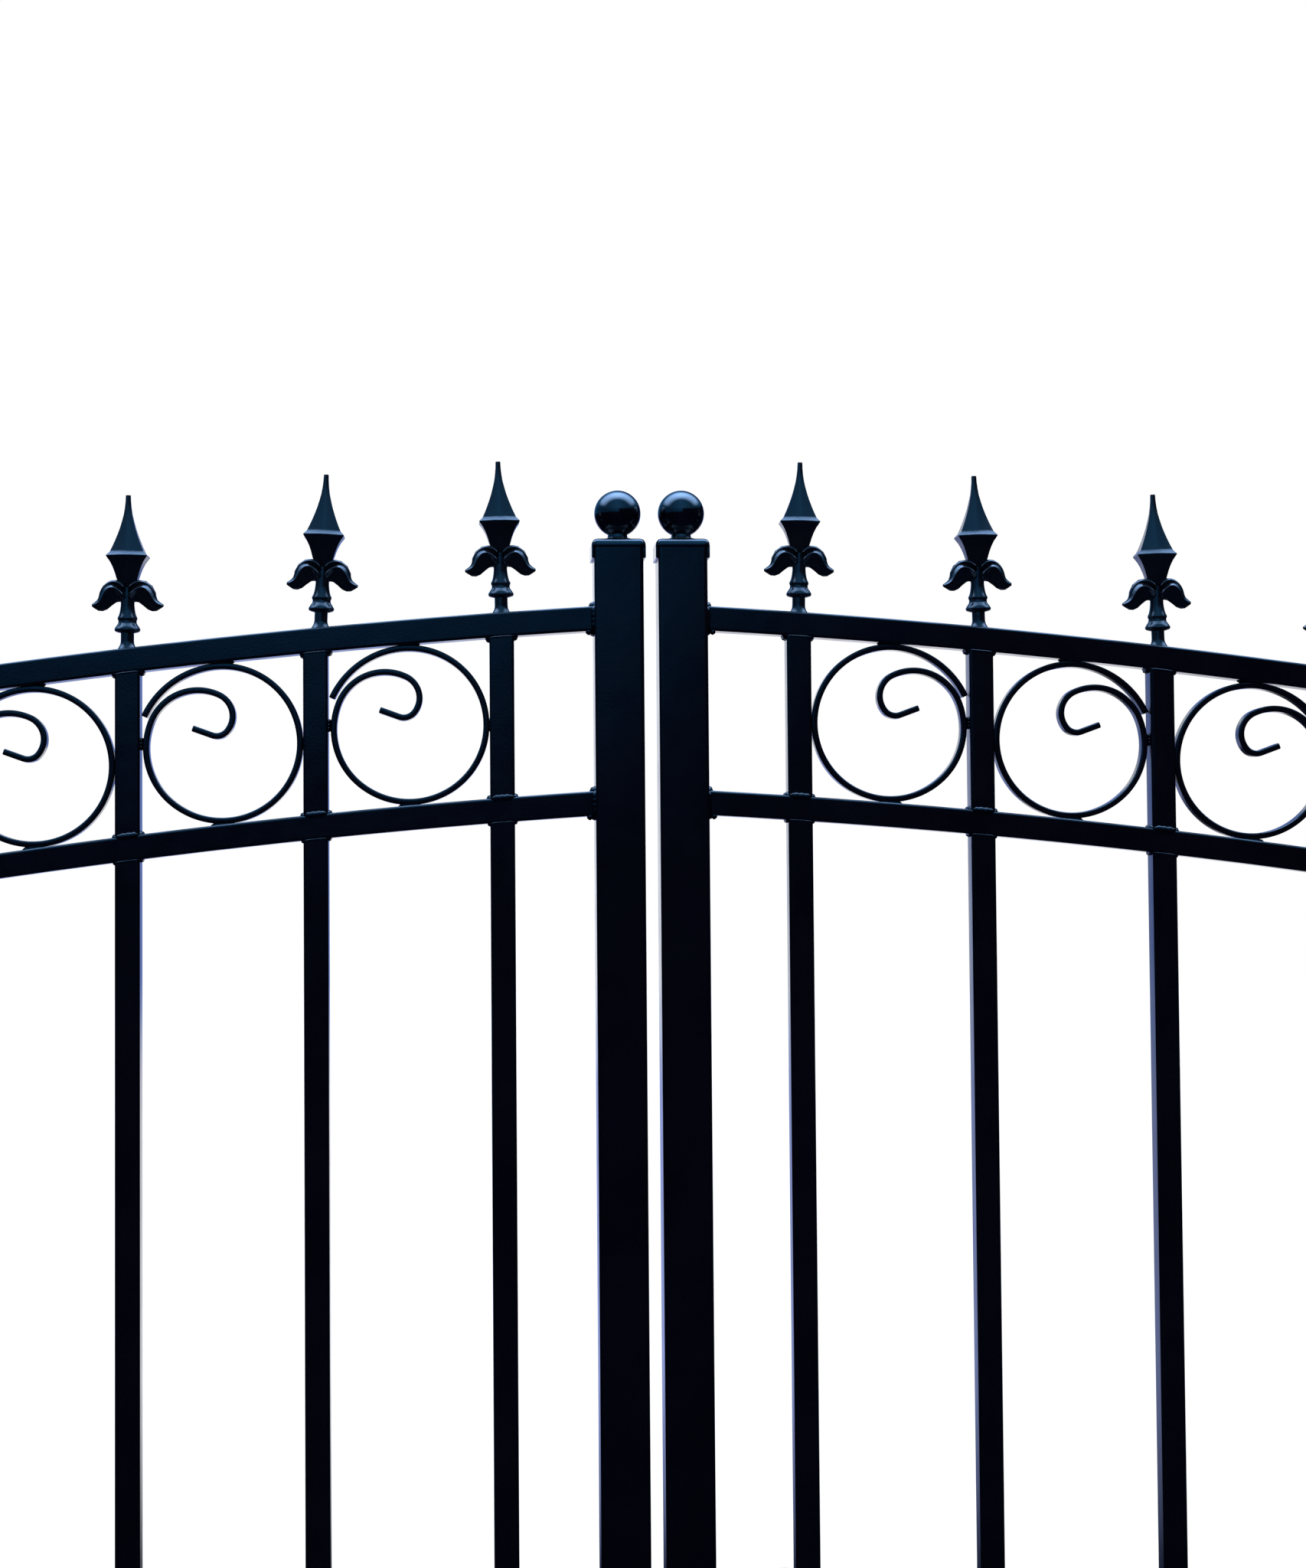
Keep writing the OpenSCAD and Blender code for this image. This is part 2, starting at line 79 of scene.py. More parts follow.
# Spear: (half width, height) going up; its section is (share of that width, share of it in depth), at
# the edge of the flat down the middle and at the sides
SPEAR = ((5.4, 47.3), (6.2, 50.2), (7.2, 53.2), (8.5, 57.1), (9.8, 61.6), (11.4, 66), (13.4, 70.1),
         (15.6, 73.3), (16.4, 74.5), (16.4, 75.1), (13.6, 78), (13, 79.5), (11.6, 82.6), (9.8, 87.1),
         (7.9, 92.3), (6.1, 97.8), (4.6, 103.5), (3.4, 108.6), (2.65, 113.8), (2.15, 118.9),
         (1.95, 124.2))
SPEAR_SECTION = ((0.22, 0.80), (1, 0.56))
SPEAR_EDGE = 0.5 * MM
# Leaf: outer edge, rib and inner edge at each station from the stem to the tip, half its thickness,
# and how proud its outer rim stands
LEAF = (((0.2, 49.7), (0.8, 40.4), (3, 36.6), 9.6, 0.96),
        ((3.6, 53.8), (4.2, 45), (5.8, 38.6), 10.2, 0.94),
        ((8.8, 56.2), (8.6, 48.5), (8.8, 38.2), 9.6, 0.84),
        ((14.6, 55.4), (13.4, 49.6), (12.4, 35.6), 8.2, 0.60),
        ((19.9, 51.4), (17.2, 46.8), (16.2, 32.4), 6.9, 0.50),
        ((22.7, 45.8), (19.8, 41.4), (19.8, 31), 5.6, 0.50),
        ((23.2, 40.8), (22.4, 37.8), (23.2, 31.2), 4.2, 0.50),
        ((25.9, 38.4), (25.9, 36.2), (26.2, 33), 2.9, 0.50),
        ((28.7, 36.6), (28.8, 35.6), (28.6, 34.6), 1.3, 0.50))
# Across half a leaf, from its edge to its rib: share of the way, share of the thickness, share of the rim
LEAF_OUTER = ((0.0, 0.0, 0.0), (0.02, 0.0, 0.66), (0.06, 0.0, 0.80), (0.22, 0.0, 1.0), (0.32, 0.0, 0.97),
              (0.40, 0.44, 0.16), (0.47, 0.46, 0.10), (0.88, 0.97, 0.0), (0.95, 1.0, 0.0), (1.0, 1.0, 0.0))
LEAF_INNER = ((0.86, 0.86, 0.0), (0.6, 0.60, 0.0), (0.3, 0.46, 0.0), (0.08, 0.36, 0.0), (0.0, 0.0, 0.0))
# Each finial from the meeting stile out: lean in degrees towards +X, shift from the bar's middle, length
FINIAL_SET = {
    "left": ((-1.0, 0, 1.005), (2.3, 3.8, 1.014), (0.4, -1, 1.008), (0.6, -1, 1.0), (-0.5, 0.5, 1.01)),
    "right": ((1.1, 1, 1.005), (-1.2, 0, 1.016), (-1.3, -0.5, 1.022), (0.5, 0, 1.0), (-0.4, 1, 1.01)),
}
# Each finial is also turned by up to this much, by a wave that takes this step from one to the next
FINIAL_TURN_DEGREES = 2.0
FINIAL_TURN_STEP = 3.7
FINIAL_SEAT = 1 * MM

# Caps: ball's radius, neck's radius, skirt's height, roll of the pan's edge, and flaps' length
STILE_CAP = (19 * MM, 7.9 * MM, 6 * MM, 5 * MM, 16 * MM)
POST_CAP = (32 * MM, 13 * MM, 10 * MM, 7 * MM, 22 * MM)
PAN_RISE = 0.8 * MM
SKIRT_EDGE = 0.6 * MM
BALL_DROP = 1.5 * MM
FLAP_T = 2.2 * MM
FLAP_INSET = 3 * MM
FLAP_EDGE = 1.0 * MM
# Domed boss under a ball: (share of the neck's radius, millimetres above the pan)
BOSS = ((2.5, -1.2), (2.3, -0.3), (2.0, 0.6), (1.6, 1.4), (1.25, 2.1), (1.04, 2.9))
BALL_STEPS = 28
BALL_TOP = 0.02 * MM

# Weld: length of a ripple, the fewest there are, its sides, and shares by which its ends close, its
# ripples swell and its middle sways, the last two as waves with these steps from ripple to ripple
RIPPLE = 1.6 * MM
FEWEST_RIPPLES = 6
BEAD_SIDES = 8
END_CLOSING = 0.78
SWELL = 0.13
SWELL_STEP = 2.3
SWAY = 0.1
SWAY_STEP = 0.9
# Shares of a tube's half width that welds run to: at a bar's sides, at its front and back, at a rail's end
FILLET_REACH = 0.92
RUN_REACH = 0.9
RAIL_REACH = 0.95
# Bars' welds: rail, whether on its upper face, size of the side fillets, and of the front and back runs
BAR_WELDS = (("top_rail", False, 3.1 * MM, 0.8 * MM), ("scroll_rail", True, 2.8 * MM, 2.8 * MM),
             ("scroll_rail", False, 2.2 * MM, 0.7 * MM), ("bottom_rail", True, 2.5 * MM, 1.6 * MM))
# Rails' welds: sizes along the top and the foot and up the sides
RAIL_TOP_WELD = 4.0 * MM
RAIL_FOOT_WELD = 3.4 * MM
RAIL_SIDE_WELD = 2.6 * MM
# Drip under some rails' ends: size, place in from the stile, share of the half width towards the street,
# how far it runs to each side of its place, and its fall
DRIP = 2.5 * MM
DRIP_PLACE = 5 * MM
DRIP_REACH = 0.75
DRIP_BEFORE = 3 * MM
DRIP_AFTER = 2 * MM
DRIP_FALL = 1.8 * MM
# Rings' tacks: size, half length and spacing at the bars, then at the rails
RING_BAR_TACK = (2.3 * MM, 4.6 * MM, 2.8 * MM)
RING_RAIL_TACK = (2.2 * MM, 9 * MM, 3.4 * MM)
# Fittings' welds
EYE_WELD = 2.4 * MM
EYE_WELD_OFF = 7 * MM
EYE_WELD_INSET = 1 * MM
GUIDE_WELD = 1.8 * MM
LATCH_WELD = 1.8 * MM
LATCH_WELD_REACH = 34 * MM
LATCH_WELD_INSET = 2 * MM
POST_FOOT_WELD = 3.6 * MM
POST_FOOT_INSET = 4 * MM
BRACKET_SIDE_WELD = 2.8 * MM
BRACKET_END_WELD = 2.6 * MM
BRACKET_HEIGHT = 60 * MM


def centre(node):
    """Middle of a CAD node's box."""
    low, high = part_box(node)
    return (low + high) / 2


def merged(node):
    """A CAD node's mesh as a clean bmesh: its loose triangles joined, its flat faces whole."""
    bm = bmesh.new()
    bm.from_mesh(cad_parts[node].data)
    bmesh.ops.remove_doubles(bm, verts=bm.verts, dist=SAME_POINT)
    flat = math.radians(SAME_FACE_DEGREES)
    bmesh.ops.dissolve_limit(bm, angle_limit=flat, verts=bm.verts, edges=bm.edges)
    return bm


def solids(node):
    """Boxes of the separate solids in a CAD node, from the lowest up."""
    bm = merged(node)
    left, found = set(bm.verts), []
    while left:
        island, waiting = set(), [left.pop()]
        while waiting:
            vert = waiting.pop()
            island.add(vert)
            near = {e.other_vert(vert) for e in vert.link_edges} & left
            left -= near
            waiting.extend(near)
        found.append([Vector(map(pick, *(v.co for v in island))) for pick in (min, max)])
    bm.free()
    return sorted(found, key=lambda box: box[0].z)


def skin(node):
    """Search tree of a CAD node's surface."""
    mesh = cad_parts[node].data
    return BVHTree.FromPolygons([v.co for v in mesh.vertices], [p.vertices for p in mesh.polygons])


def top_of(tree, x):
    """Height of a rail's upper face at x."""
    return tree.ray_cast(Vector((x, 0, HIGH_UP)), Vector((0, 0, -1)))[0].z


def foot_of(tree, x):
    """Height of a rail's lower face at x."""
    return tree.ray_cast(Vector((x, 0, 0)), Vector((0, 0, 1)))[0].z


def sharp_edges(bm, degrees):
    """Edges whose two faces meet at more than this angle."""
    limit = math.radians(degrees)
    return [e for e in bm.edges if len(e.link_faces) == 2 and e.calc_face_angle(0) > limit]


def soften(bm, edges, size, segments=2):
    """Rounds a set of edges."""
    bmesh.ops.bevel(bm, geom=edges, offset=size, offset_type="OFFSET", affect="EDGES", segments=segments,
                    profile=0.5, material=-1, clamp_overlap=True)


def loop_of(verts):
    """Edges that join these points to each other, in the points' order."""
    among = set(verts)
    return list(dict.fromkeys(e for v in verts for e in v.link_edges if e.other_vert(v) in among))


def loft(bm, edges, stations):
    """Draws a loop of edges, made at the first matrix, through all the others, and caps both ends."""
    first = edges
    for here, there in zip(stations, stations[1:]):
        grown = bmesh.ops.extrude_edge_only(bm, edges=edges)["geom"]
        verts = [g for g in grown if isinstance(g, bmesh.types.BMVert)]
        bmesh.ops.transform(bm, matrix=there @ here.inverted(), verts=verts)
        edges = loop_of(verts)
    bmesh.ops.edgeloop_fill(bm, edges=first)
    bmesh.ops.edgeloop_fill(bm, edges=edges)


def lathe(bm, profile, middle, segments=32):
    """Turns (radius, height) points in metres about the upright through middle, and closes both ends."""
    verts = [bm.verts.new(middle + Vector((r, 0, z))) for r, z in profile]
    edges = [bm.edges.new(pair) for pair in zip(verts, verts[1:])]
    bmesh.ops.spin(bm, geom=verts + edges, cent=middle, axis=(0, 0, 1), angle=2 * math.pi,
                   steps=segments, use_merge=True)
    rims = [e for e in bm.edges if e.is_boundary and e.verts[0].co.z == e.verts[1].co.z]
    bmesh.ops.holes_fill(bm, edges=rims, sides=0)


def block(bm, low, high, size):
    """Box between two corners, its edges rounded."""
    low, high = Vector(low), Vector(high)
    place = Matrix.Translation((low + high) / 2) @ Matrix.Diagonal((*(high - low), 1))
    made = bmesh.ops.create_cube(bm, size=1, matrix=place)
    soften(bm, loop_of(made["verts"]), size)


def smooth_surface(bm, levels):
    """The same shape with its faces subdivided and smoothed."""
    mesh = bpy.data.meshes.new("draft")
    bm.to_mesh(mesh)
    bm.free()
    draft = bpy.data.objects.new("draft", mesh)
    bpy.context.scene.collection.objects.link(draft)
    rounding = draft.modifiers.new("rounding", "SUBSURF")
    rounding.levels = rounding.render_levels = levels
    smooth = bpy.data.meshes.new_from_object(draft.evaluated_get(bpy.context.evaluated_depsgraph_get()))
    made = bmesh.new()
    made.from_mesh(smooth)
    bpy.data.objects.remove(draft)
    bpy.data.meshes.remove(mesh)
    bpy.data.meshes.remove(smooth)
    return made


def piece(bm, name, body, slot, crease=30, outward=True):
    """Makes a bmesh a piece on a body, smooth except across creases, in its record slot's finish."""
    if outward:
        bmesh.ops.recalc_face_normals(bm, faces=bm.faces)
    mesh = bpy.data.meshes.new(name)
    bm.to_mesh(mesh)
    bm.free()
    mesh.shade_smooth()
    mesh.set_sharp_from_angle(angle=math.radians(crease))
    made = bpy.data.objects.new(name, mesh)
    bpy.context.scene.collection.objects.link(made)
    evened = made.modifiers.new("even shading", "WEIGHTED_NORMAL")
    evened.keep_sharp = True
    mesh.materials.append(FINISHES[slot])
    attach(made, body)
    return made


def dressed(node, body, slot, edge=0.0, segments=2):
    """The CAD node again in its finish, with its hard edges rounded by this much."""
    bm = merged(node)
    if edge:
        soften(bm, sharp_edges(bm, degrees=40), edge, segments)
    made = piece(bm, node + "_finished", body, slot, outward=False)
    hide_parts(node)


# ---------------------------------------------------------------- finishes

# Where a noise's values mostly lie, and the two ways that a band maps onto a share
NOISE = (0.3, 0.7)
RISING = (0.0, 1.0)
FALLING = (1.0, 0.0)

DUST = (0.10, 0.115, 0.13)
DUST_ROUGHNESS = 0.9
SPLASH_HEIGHT = 0.22
COAT_IOR = 1.5
PLASTIC_IOR = 1.52
COAT_DARK = (0.0003, 0.0004, 0.0018)
COAT_LIGHT = (0.0005, 0.0007, 0.0027)
CAST_DARK = (0.0004, 0.0010, 0.0036)
CAST_LIGHT = (0.0007, 0.0016, 0.0050)
ZINC_DARK = (0.42, 0.44, 0.47)
ZINC_LIGHT = (0.56, 0.58, 0.61)
ZINC_BLOOM = (0.36, 0.37, 0.38)
ZINC_SPANGLES = 420.0
ZINC_LINES = (900.0, 900.0, 60.0)
ZINC_DEPTH = 0.03 * MM
NYLON_DARK = (0.66, 0.64, 0.58)
NYLON_LIGHT = (0.80, 0.79, 0.75)
PLASTIC_DARK = (0.010, 0.010, 0.011)
PLASTIC_LIGHT = (0.020, 0.020, 0.021)


def feed(socket, value):
    """Sets a socket to a value, or links another node's output to it."""
    if isinstance(value, bpy.types.NodeSocket):
        socket.id_data.links.new(value, socket)
    else:
        socket.default_value = value


def node_maker(tree):
    """Helper that adds a node to this tree and feeds its inputs by name."""

    def add(kind, **inputs):
        node = tree.nodes.new("ShaderNode" + kind)
        for name, value in inputs.items():
            feed(node.inputs[name.replace("_", " ")], value)
        return node

    return add


def new_finish(name):
    """New material, the inputs of its Principled shader, and a helper that adds nodes to it."""
    material = bpy.data.materials.new(name)
    material.use_nodes = True
    tree = material.node_tree
    return material, tree.nodes["Principled BSDF"].inputs, node_maker(tree)


def speckle(add, place, lumps, detail=3.0, roughness=0.5):
    """Soft noise over the piece, with about this many lumps in a metre."""
    return add("TexNoise", Vector=place, Scale=lumps, Detail=detail, Roughness=roughness).outputs["Fac"]


def spread(add, value, band, onto=RISING):
    """Maps a band of one value onto another, without running past its ends."""
    low, high = band
    node = add("MapRange", Value=value, From_Min=low, From_Max=high, To_Min=onto[0], To_Max=onto[1])
    node.clamp = True
    return node.outputs["Result"]


def worked_out(add, operation, a, b):
    """Sum, product or other result of two values, kept between 0 and 1."""
    node = add("Math")
    node.operation = operation
    node.use_clamp = True
    feed(node.inputs[0], a)
    feed(node.inputs[1], b)
    return node.outputs["Value"]


def blend_colours(add, share, low, high, blend="MIX"):
    """Mix of two colours, either of which may be a socket."""
    node = add("Mix")
    node.data_type = "RGBA"
    node.blend_type = blend
    factor, first, second, result = node.inputs[0], node.inputs[6], node.inputs[7], node.outputs[2]
    feed(factor, share)
    for socket, value in ((first, low), (second, high)):
        feed(socket, value if isinstance(value, bpy.types.NodeSocket) else (*value, 1))
    return result


def bump(add, height, distance, under=None):
    """Bump of this many metres, on top of another one if there is one."""
    node = add("Bump", Height=height, Distance=distance, Strength=1.0)
    if under is not None:
        feed(node.inputs["Normal"], under)
    return node.outputs["Normal"]


def settled_dust(add, place):
    """Share of a surface under dust: what faces up, in patches, and splashes near the ground."""
    facing = add("SeparateXYZ", Vector=add("NewGeometry").outputs["Normal"]).outputs["Z"]
    up = spread(add, facing, (0.55, 1.0))
    patches = spread(add, speckle(add, place, lumps=55, detail=6), (0.42, 0.68), (0.25, 1.0))
    height = add("SeparateXYZ", Vector=place).outputs["Z"]
    low = spread(add, height, (0.0, SPLASH_HEIGHT), (0.5, 0.0))
    spots = spread(add, speckle(add, place, lumps=90, detail=8, roughness=0.7), (0.45, 0.62))
    settled = worked_out(add, "MULTIPLY", up, patches)
    splashed = worked_out(add, "MULTIPLY", low, spots)
    return worked_out(add, "MAXIMUM", settled, splashed)


def painted(name, dark, light, rough, peel, wave, grain=None, dusty=0.12, shine=0.5):
    """Black coating: two tones in clouds, orange peel, slow waves, and dust where it settles."""
    material, shader, add = new_finish(name)
    place = add("TexCoord").outputs["Object"]
    clouds = spread(add, speckle(add, place, lumps=14, detail=4), (0.35, 0.65))
    tone = blend_colours(add, clouds, dark, light)
    dust = worked_out(add, "MULTIPLY", settled_dust(add, place), dusty)
    feed(shader["Base Color"], blend_colours(add, dust, tone, DUST))
    sheen = spread(add, speckle(add, place, lumps=38, detail=5), NOISE, rough)
    duller = worked_out(add, "MULTIPLY", dust, DUST_ROUGHNESS)
    feed(shader["Roughness"], worked_out(add, "ADD", sheen, duller))
    normal = bump(add, speckle(add, place, lumps=18, detail=2), wave)
    normal = bump(add, speckle(add, place, lumps=620, detail=2), peel, normal)
    if grain:
        lumps, depth = grain
        normal = bump(add, speckle(add, place, lumps, detail=6, roughness=0.65), depth, normal)
    feed(shader["Normal"], normal)
    feed(shader["IOR"], COAT_IOR)
    feed(shader["Specular IOR Level"], shine)
    return material


def coated_steel():
    """Semi-gloss black powder coat with a blue cast."""
    return painted("coated_steel", COAT_DARK, COAT_LIGHT, rough=(0.10, 0.16), peel=0.035 * MM,
                   wave=0.30 * MM)


def cast_finials():
    """Satin black over sand castings."""
    return painted("cast_finials", CAST_DARK, CAST_LIGHT, rough=(0.14, 0.22), peel=0.05 * MM,
                   wave=0.4 * MM, grain=(260, 0.14 * MM), dusty=0.08, shine=0.6)


def ball_caps():
    """Gloss black powder coat on pressed and turned caps."""
    return painted("ball_caps", COAT_DARK, COAT_LIGHT, rough=(0.06, 0.11), peel=0.02 * MM,
                   wave=0.10 * MM, shine=0.7)


def zinc_bolts():
    """Dull zinc plate: faint spangle, drawn lines, and grey bloom."""
    material, shader, add = new_finish("zinc_bolts")
    place = add("TexCoord").outputs["Object"]
    cells = add("TexVoronoi", Vector=place, Scale=ZINC_SPANGLES).outputs["Color"]
    grey = add("SeparateColor", Color=cells).outputs["Red"]
    spangle = blend_colours(add, grey, ZINC_DARK, ZINC_LIGHT)
    bloom = spread(add, speckle(add, place, lumps=60, detail=6), (0.5, 0.75), (0.0, 0.7))
    feed(shader["Base Color"], blend_colours(add, bloom, spangle, ZINC_BLOOM))
    feed(shader["Roughness"], spread(add, speckle(add, place, lumps=90, detail=5), NOISE, (0.34, 0.52)))
    drawn = add("Mapping", Vector=place, Scale=ZINC_LINES).outputs["Vector"]
    normal = bump(add, speckle(add, drawn, lumps=1.0, detail=3), ZINC_DEPTH)
    feed(shader["Normal"], bump(add, speckle(add, place, lumps=300, detail=4), ZINC_DEPTH, normal))
    feed(shader["Metallic"], 1.0)
    return material


def moulded(name, low, high, rough, grain):
    """Moulded plastic with a fine spark-eroded grain."""
    material, shader, add = new_finish(name)
    place = add("TexCoord").outputs["Object"]
    feed(shader["Base Color"], blend_colours(add, speckle(add, place, lumps=40, detail=4), low, high))
    feed(shader["Roughness"], spread(add, speckle(add, place, lumps=120, detail=4), NOISE, rough))
    feed(shader["Normal"], bump(add, speckle(add, place, lumps=1500, detail=3), grain))
    feed(shader["IOR"], PLASTIC_IOR)
    return material


FINISHES = {
    "coated_steel": coated_steel(),
    "cast_finials": cast_finials(),
    "ball_caps": ball_caps(),
    "zinc_bolts": zinc_bolts(),
    "washers": moulded("nylon", NYLON_DARK, NYLON_LIGHT, rough=(0.38, 0.5), grain=0.02 * MM),
    "plugs": moulded("black_plastic", PLASTIC_DARK, PLASTIC_LIGHT, rough=(0.45, 0.6), grain=0.06 * MM),
}

# ---------------------------------------------------------------- leaves


def arched_rail(side, node):
    """Rail with the rounded corners of drawn tube along its four long edges."""
    name = f"{side}_{node}"
    bm = merged(name)
    depth = max(v.co.y for v in bm.verts) - HAIR
    long = [e for e in sharp_edges(bm, degrees=60)
            if min(abs(v.co.y) for v in e.verts) > depth
            and abs(e.verts[0].co.x - e.verts[1].co.x) > abs(e.verts[0].co.z - e.verts[1].co.z)]
    soften(bm, long, TUBE_CORNER, segments=4)
    made = piece(bm, name + "_finished", f"{side}_leaf", "coated_steel", outward=False)
    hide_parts(name)


def way(turn):
    """Direction at this many degrees from +X towards +Z."""
    return Vector((math.cos(math.radians(turn)), 0, math.sin(math.radians(turn))))


def scroll_hubs(middle, bend):
    """Centres of a ring scroll's arcs, each in line with the last one and the point where they meet."""
    hubs = [middle + bend * (SCROLL_SHARES[1] - SCROLL_SHARES[0]) * way(SCROLL_TURNS[1]), middle]
    for k in range(2, len(SCROLL_SHARES)):
        hubs.append(hubs[-1] + bend * (SCROLL_SHARES[k - 1] - SCROLL_SHARES[k]) * way(SCROLL_TURNS[k]))
    return hubs


def ring_scroll(side, number):
    """Flat bar bent round a row of arcs, each carrying on from the last, with a straight hook at its end."""
    name = f"{side}_ring_scroll_{number}"
    low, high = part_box(name)
    radius = (high.z - low.z) / 2
    bend = radius - FLAT_T / 2
    middle = Vector((low.x + radius, 0, low.z + radius))
    if side == "left":
        middle.x = -(high.x - radius)
    hubs = scroll_hubs(middle, bend)
    bm = bmesh.new()
    start = hubs[0] + bend * SCROLL_SHARES[0] * way(SCROLL_TURNS[0])
    across = Matrix.Rotation(-math.radians(SCROLL_TURNS[0]), 4, "Y")
    flat = Matrix.Diagonal((FLAT_T, high.y - low.y, 1, 1))
    end = bmesh.ops.create_grid(bm, x_segments=1, y_segments=1, size=0.5,
                                matrix=Matrix.Translation(start) @ across @ flat)
    bmesh.ops.bevel(bm, geom=end["verts"], offset=FLAT_EDGE, offset_type="OFFSET", affect="VERTICES",
                    segments=3, profile=0.5, material=-1, clamp_overlap=True)
    verts = list(bm.verts)
    edges = list(bm.edges)
    for k, hub in enumerate(hubs):
        turn = SCROLL_TURNS[k + 1] - SCROLL_TURNS[k]
        spun = bmesh.ops.spin(bm, geom=verts + edges, cent=hub, axis=(0, -1, 0), angle=math.radians(turn),
                              steps=math.ceil(turn / SPIN_STEP))["geom_last"]
        verts = [g for g in spun if isinstance(g, bmesh.types.BMVert)]
        edges = [g for g in spun if isinstance(g, bmesh.types.BMEdge)]
    grown = bmesh.ops.extrude_edge_only(bm, edges=edges)["geom"]
    tip = [g for g in grown if isinstance(g, bmesh.types.BMVert)]
    bmesh.ops.translate(bm, verts=tip, vec=CURL_HOOK * way(SCROLL_TURNS[-1] + 90))
    bmesh.ops.edgeloop_fill(bm, edges=loop_of(tip))
    soften(bm, sharp_edges(bm, degrees=70), CUT_EDGE)
    if side == "left":
        bmesh.ops.scale(bm, vec=(-1, 1, 1), verts=bm.verts)
    made = piece(bm, name + "_bent", f"{side}_leaf", "coated_steel")
    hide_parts(name)


def spear_head(bm):
    """Spear drawn through its widths, with a flat down the middle that falls away to the sides."""
    stations = []
    for width, z in SPEAR:
        size = Matrix.Diagonal((width * MM, width * MM, 1, 1))
        stations.append(Matrix.Translation((0, 0, z * MM)) @ size)
    turned = Matrix.Rotation(math.pi / 8, 4, "Z")
    bmesh.ops.create_circle(bm, cap_ends=False, segments=8, radius=1, matrix=turned)
    for vert in bm.verts:
        x, y = vert.co.x, vert.co.y
        wide, deep = SPEAR_SECTION[0] if abs(y) > abs(x) else SPEAR_SECTION[1]
        vert.co = (math.copysign(wide, x), math.copysign(deep, y), 0)
    bmesh.ops.transform(bm, matrix=stations[0], verts=bm.verts)
    loft(bm, list(bm.edges), stations)
    bmesh.ops.recalc_face_normals(bm, faces=bm.faces)
    soften(bm, sharp_edges(bm, degrees=24), SPEAR_EDGE)


def curled_leaf():
    """Leaf that curls out and down to a flicked tip: raised rim, groove and rib on both of its faces."""
    across = [(*row, 0) for row in LEAF_OUTER] + [(*row, 2) for row in LEAF_INNER]
    bm = bmesh.new()
    bmesh.ops.create_grid(bm, x_segments=len(LEAF) - 1, y_segments=len(across) - 1, size=0.5)
    for vert in bm.verts:
        k = round((vert.co.x + 0.5) * (len(LEAF) - 1))
        share, high, rim, edge = across[round((vert.co.y + 0.5) * (len(across) - 1))]
        rib = Vector(LEAF[k][1])
        x, z = Vector(LEAF[k][edge]).lerp(rib, share)
        vert.co = (x * MM, -LEAF[k][3] * (high + rim * LEAF[k][4]) * MM, z * MM)
    front = list(bm.verts) + list(bm.edges) + list(bm.faces)
    bmesh.ops.mirror(bm, geom=front, axis="Y", merge_dist=HAIR)
    ends = [e for e in bm.edges if e.is_boundary]
    bmesh.ops.holes_fill(bm, edges=ends, sides=0)
    return smooth_surface(bm, levels=2)


def add_copy(bm, source, matrix):
    """Adds a moved copy of one bmesh to another."""
    mesh = bpy.data.meshes.new("copy")
    source.to_mesh(mesh)
    before = len(bm.verts)
    bm.from_mesh(mesh)
    bm.verts.ensure_lookup_table()
    bmesh.ops.transform(bm, matrix=matrix, verts=bm.verts[before:])
    bpy.data.meshes.remove(mesh)


def cast_finial():
    """Spear, two leaves and turned stem, standing on the origin."""
    bm = bmesh.new()
    spear_head(bm)
    stem = bmesh.new()
    lathe(stem, [(r * MM, z * MM) for r, z in STEM], Vector((0, 0, 0)))
    leaf = curled_leaf()
    add_copy(bm, stem, Matrix.Identity(4))
    add_copy(bm, leaf, Matrix.Identity(4))
    add_copy(bm, leaf, Matrix.Diagonal((-1, 1, 1, 1)))
    stem.free()
    leaf.free()
    bmesh.ops.recalc_face_normals(bm, faces=bm.faces)
    return bm


def finials(side, rail):
    """A finial on the top rail over each bar, each a little out of true as they are welded by hand."""
    one = cast_finial()
    bm = bmesh.new()
    for number in range(1, BAR_COUNT + 1):
        lean, shift, length = FINIAL_SET[side][(number - 1) % len(FINIAL_SET[side])]
        lean = math.radians(lean)
        turn = math.radians(FINIAL_TURN_DEGREES) * math.sin(FINIAL_TURN_STEP * number + SIDES[side])
        x = centre(f"{side}_lower_bar_{number}").x + shift * MM
        place = Matrix.Translation((x, 0, top_of(rail, x) - FINIAL_SEAT))
        turned = Matrix.Rotation(lean, 4, "Y") @ Matrix.Rotation(turn, 4, "Z")
        add_copy(bm, one, place @ turned @ Matrix.Diagonal((1, 1, length, 1)))
    one.free()
    made = piece(bm, f"{side}_finials_cast", f"{side}_leaf", "cast_finials", crease=26, outward=False)
    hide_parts(f"{side}_finials")


def ball_profile(ball, neck, base, ball_z):
    """(radius, height) up a domed boss, in at the neck and round a ball."""
    boss = [(neck * share, base + rise * MM) for share, rise in BOSS]
    start = math.asin(neck / ball)
    arc = [start + (math.pi - start) * k / BALL_STEPS for k in range(BALL_STEPS)]
    round_it = [(ball * math.sin(a), ball_z - ball * math.cos(a)) for a in arc]
    return boss + round_it + [(BALL_TOP, ball_z + ball)]


